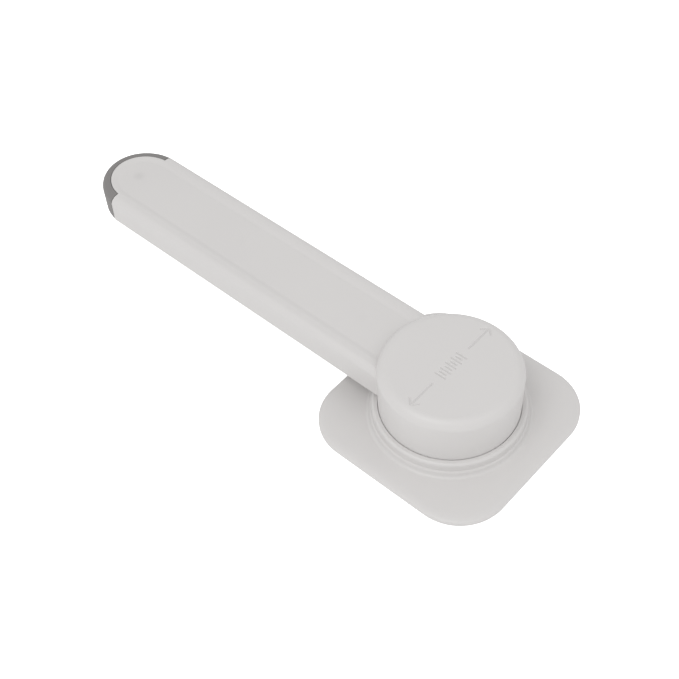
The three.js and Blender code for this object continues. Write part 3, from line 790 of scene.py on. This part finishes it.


# The arm's white ABS, with painted shade over the three sinks and in the cut marks.
arm_sink_shades = [((x, 0.0, arm_top), sink_shade_radius, tone) for x, tone in zip(boss_places, sink_painted_shades)]
arm_white_painted_shade = plastic_finish("arm_abs_painted_shade", *white_tones, white_gloss, sink_shades=arm_sink_shades, marks=mark_painted_shade)
arm_skin = skin(arm_grid(), close_rows=True, cap_columns=True)
arm_shell = piece(
    "arm_moulding",
    [arm_skin] + hub_skins() + rib_skins(),
    arm_white_painted_shade,
    "arm",
    "white_plastic",
    "arm_shell",
    crease=60.0,
)

# The mesh keeps how deep each of its points is cut, from 0 to 1, and fainter for the arrows: the arm's
# finish paints shade into the marks by it.
spots = np.empty(3 * len(arm_shell.data.vertices))
arm_shell.data.vertices.foreach_get("co", spots)
spots = spots.reshape(-1, 3)
on_top = spots[:, 2] > hub_top - 2 * mark_depth
groove_shade_share = np.where(on_top, mark_relief(spots[:, 0], spots[:, 1]) / mark_depth, 0.0)
groove_shade_share *= np.where(np.abs(spots[:, 1]) > arrow_start - mark_bank - arrow_half, arrow_shade_share, 1.0)
arm_shell.data.attributes.new("marks", "FLOAT", "POINT").data.foreach_set("value", groove_shade_share)

# --- Arm cover and its screws -------------------------------------------------------------------------
# A flat plate in the same ABS closes the arm from below, held by three self-tapping screws.
refinish(white, "arm_cover")
refinish(zinc, "cover_screw_1", "cover_screw_2", "cover_screw_3", "pivot_screw", "retaining_washer")
refinish(wire_steel, "wave_washer")

# --- Return spring ------------------------------------------------------------------------------------
# Six turns of hard-drawn steel wire, coiled cold. They lie along the arm between its fixed stop and the
# rod's tab, and the grip's pull shortens them.
spring_low, spring_high = (np.array(corner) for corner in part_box("return_spring"))
spring_wire = 0.35 * MM
spring_turns = 6


def coil_grid():
    """A round wire carried along a helix: the wire's ring stands across the path at every step, on the
    outward direction and on the cross product of the path's tangent with it."""
    coil = (spring_high[2] - spring_low[2]) / 2 - spring_wire
    rise = spring_high[0] - spring_low[0] - 2 * spring_wire
    share = np.linspace(0.0, 1.0, spring_turns * 40 + 1)
    angle = 2 * math.pi * spring_turns * share
    out = np.stack([0 * angle, np.cos(angle), np.sin(angle)], -1)
    path = coil * out + [spring_high[0] - spring_wire, 0, (spring_low[2] + spring_high[2]) / 2]
    path[:, 0] -= rise * share
    slope = rise / (2 * math.pi * spring_turns * coil)
    ahead = np.stack([0 * angle - slope, -np.sin(angle), np.cos(angle)], -1) / math.hypot(1, slope)
    aside = np.cross(ahead, out)
    ring = np.linspace(0.0, 2 * math.pi, 12, endpoint=False)[None, :, None]
    return path[:, None] + spring_wire * (np.cos(ring) * out[:, None] + np.sin(ring) * aside[:, None])


coil = piece(
    "spring_coil",
    [skin(coil_grid(), close_columns=True, cap_rows=True)],
    wire_steel,
    "arm",
    "spring_steel",
    "return_spring",
)
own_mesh(coil)

# --- Release grip -------------------------------------------------------------------------------------
# The end of the arm in grey ABS with a slightly softer grain. It wraps the tip under the white tongue,
# slides out along the arm, and is hollow where the arm's last boss and the cover's tongue pass it.
grey = plastic_finish("grey_abs", (0.216, 0.207, 0.203, 1), (0.240, 0.230, 0.226, 1), 0.56)
grip_gap = 0.15 * MM
grip_floor = arm_bottom + 1.6 * MM
grip_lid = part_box("pawl")[0][2] + 2.3 * MM
pocket_floor = arm_top - arm_wall - 0.35 * MM
cutout_half = 6.35 * MM
cutout_end = -153.25 * MM
shelf_inset = 8 * MM
wing_gap = 0.35 * MM
wing_thickness = 1.6 * MM
wing_far, wing_near = -145 * MM, -135.9 * MM
fork_inner, fork_outer = 4 * MM, 8 * MM
fork_far, fork_near = -147 * MM, -138 * MM
link_far, link_near = -138.2 * MM, -132.4 * MM
link_thickness = 2.0 * MM


def grip_grid():
    """The grip's wall as rings round the tip. A ring is the nose's ellipse, drawn in by an inset and
    stopped at the arm's wall; the cover's cut-out is the same idea with a rectangle. The loop of rings
    runs up the outside, over the edge, down into the tongue's pocket and back along the inside."""
    turn = np.linspace(0.0, math.pi / 2, 12)
    pocket = tongue_inset - grip_gap
    lip = 0.2 * MM
    lower = 0.3 * MM
    loop = [(None, arm_bottom), (2 * MM, arm_bottom)]
    loop += [(lower * (1 - math.sin(t)), arm_bottom + lower * (1 - math.cos(t))) for t in turn[::3]]
    loop += [(0.0, z) for z in np.linspace(grip_floor, arm_top - arm_round, 8)[:-1]]
    loop += [(arm_round * (1 - math.cos(t)), arm_top - arm_round * (1 - math.sin(t))) for t in turn]
    loop += [(pocket - lip * (1 - math.sin(t)), arm_top - lip * (1 - math.cos(t))) for t in turn[::3]]
    loop += [(pocket, pocket_floor), (shelf_inset, pocket_floor), (shelf_inset, grip_lid)]
    loop += [(arm_wall, grip_lid), (arm_wall, grip_floor), (None, grip_floor)]
    share = np.linspace(-1.0, 1.0, 121)
    rings = []
    for inset, z in loop:
        face = wall_face(z) - grip_gap
        if inset is None:
            y = cutout_half * np.clip(share / 0.3, -1, 1)
            x = cutout_end + (face - cutout_end) * np.clip((np.abs(share) - 0.3) / 0.7, 0, 1)
        else:
            along = nose_length - inset
            sweep = share * math.acos((nose_start - face) / along)
            x = nose_start - along * np.cos(sweep)
            y = (arm_half - inset) * np.sin(sweep)
        rings.append(np.stack([x, y, np.full(share.size, z)], -1))
    return np.stack(rings, 1)


def grip_arms():
    """Two guide wings beside the inner walls, and the fork and link that carry the rod."""
    wing_out = arm_half - arm_wall - wing_gap
    rod_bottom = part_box("pull_rod")[0][2]
    link_top = grip_lid + link_thickness
    skins = []
    for side in (-1, 1):
        wing = sorted((side * (wing_out - wing_thickness), side * wing_out))
        skins.append(bar((wing_far, wing[0], rod_bottom), (wing_near, wing[1], pocket_floor)))
        fork = sorted((side * fork_inner, side * fork_outer))
        skins.append(bar((fork_far, fork[0], grip_lid), (fork_near, fork[1], link_top)))
    skins.append(bar((link_far, -fork_outer, grip_lid), (link_near, fork_outer, link_top)))
    return skins


piece(
    "grip_moulding",
    [skin(grip_grid(), close_columns=True, cap_rows=True)] + grip_arms(),
    grey,
    "release",
    "grey_plastic",
    "release_grip",
)

# --- Pull rod, pawl and pins --------------------------------------------------------------------------
# A flat acetal bar runs from the grip's link to the pawl that drops into the ring. Plain zinc-plated pins
# join the three.
refinish(acetal, "pull_rod", "pawl")
refinish(zinc, "tip_pin", "pawl_pin_1", "pawl_pin_2")
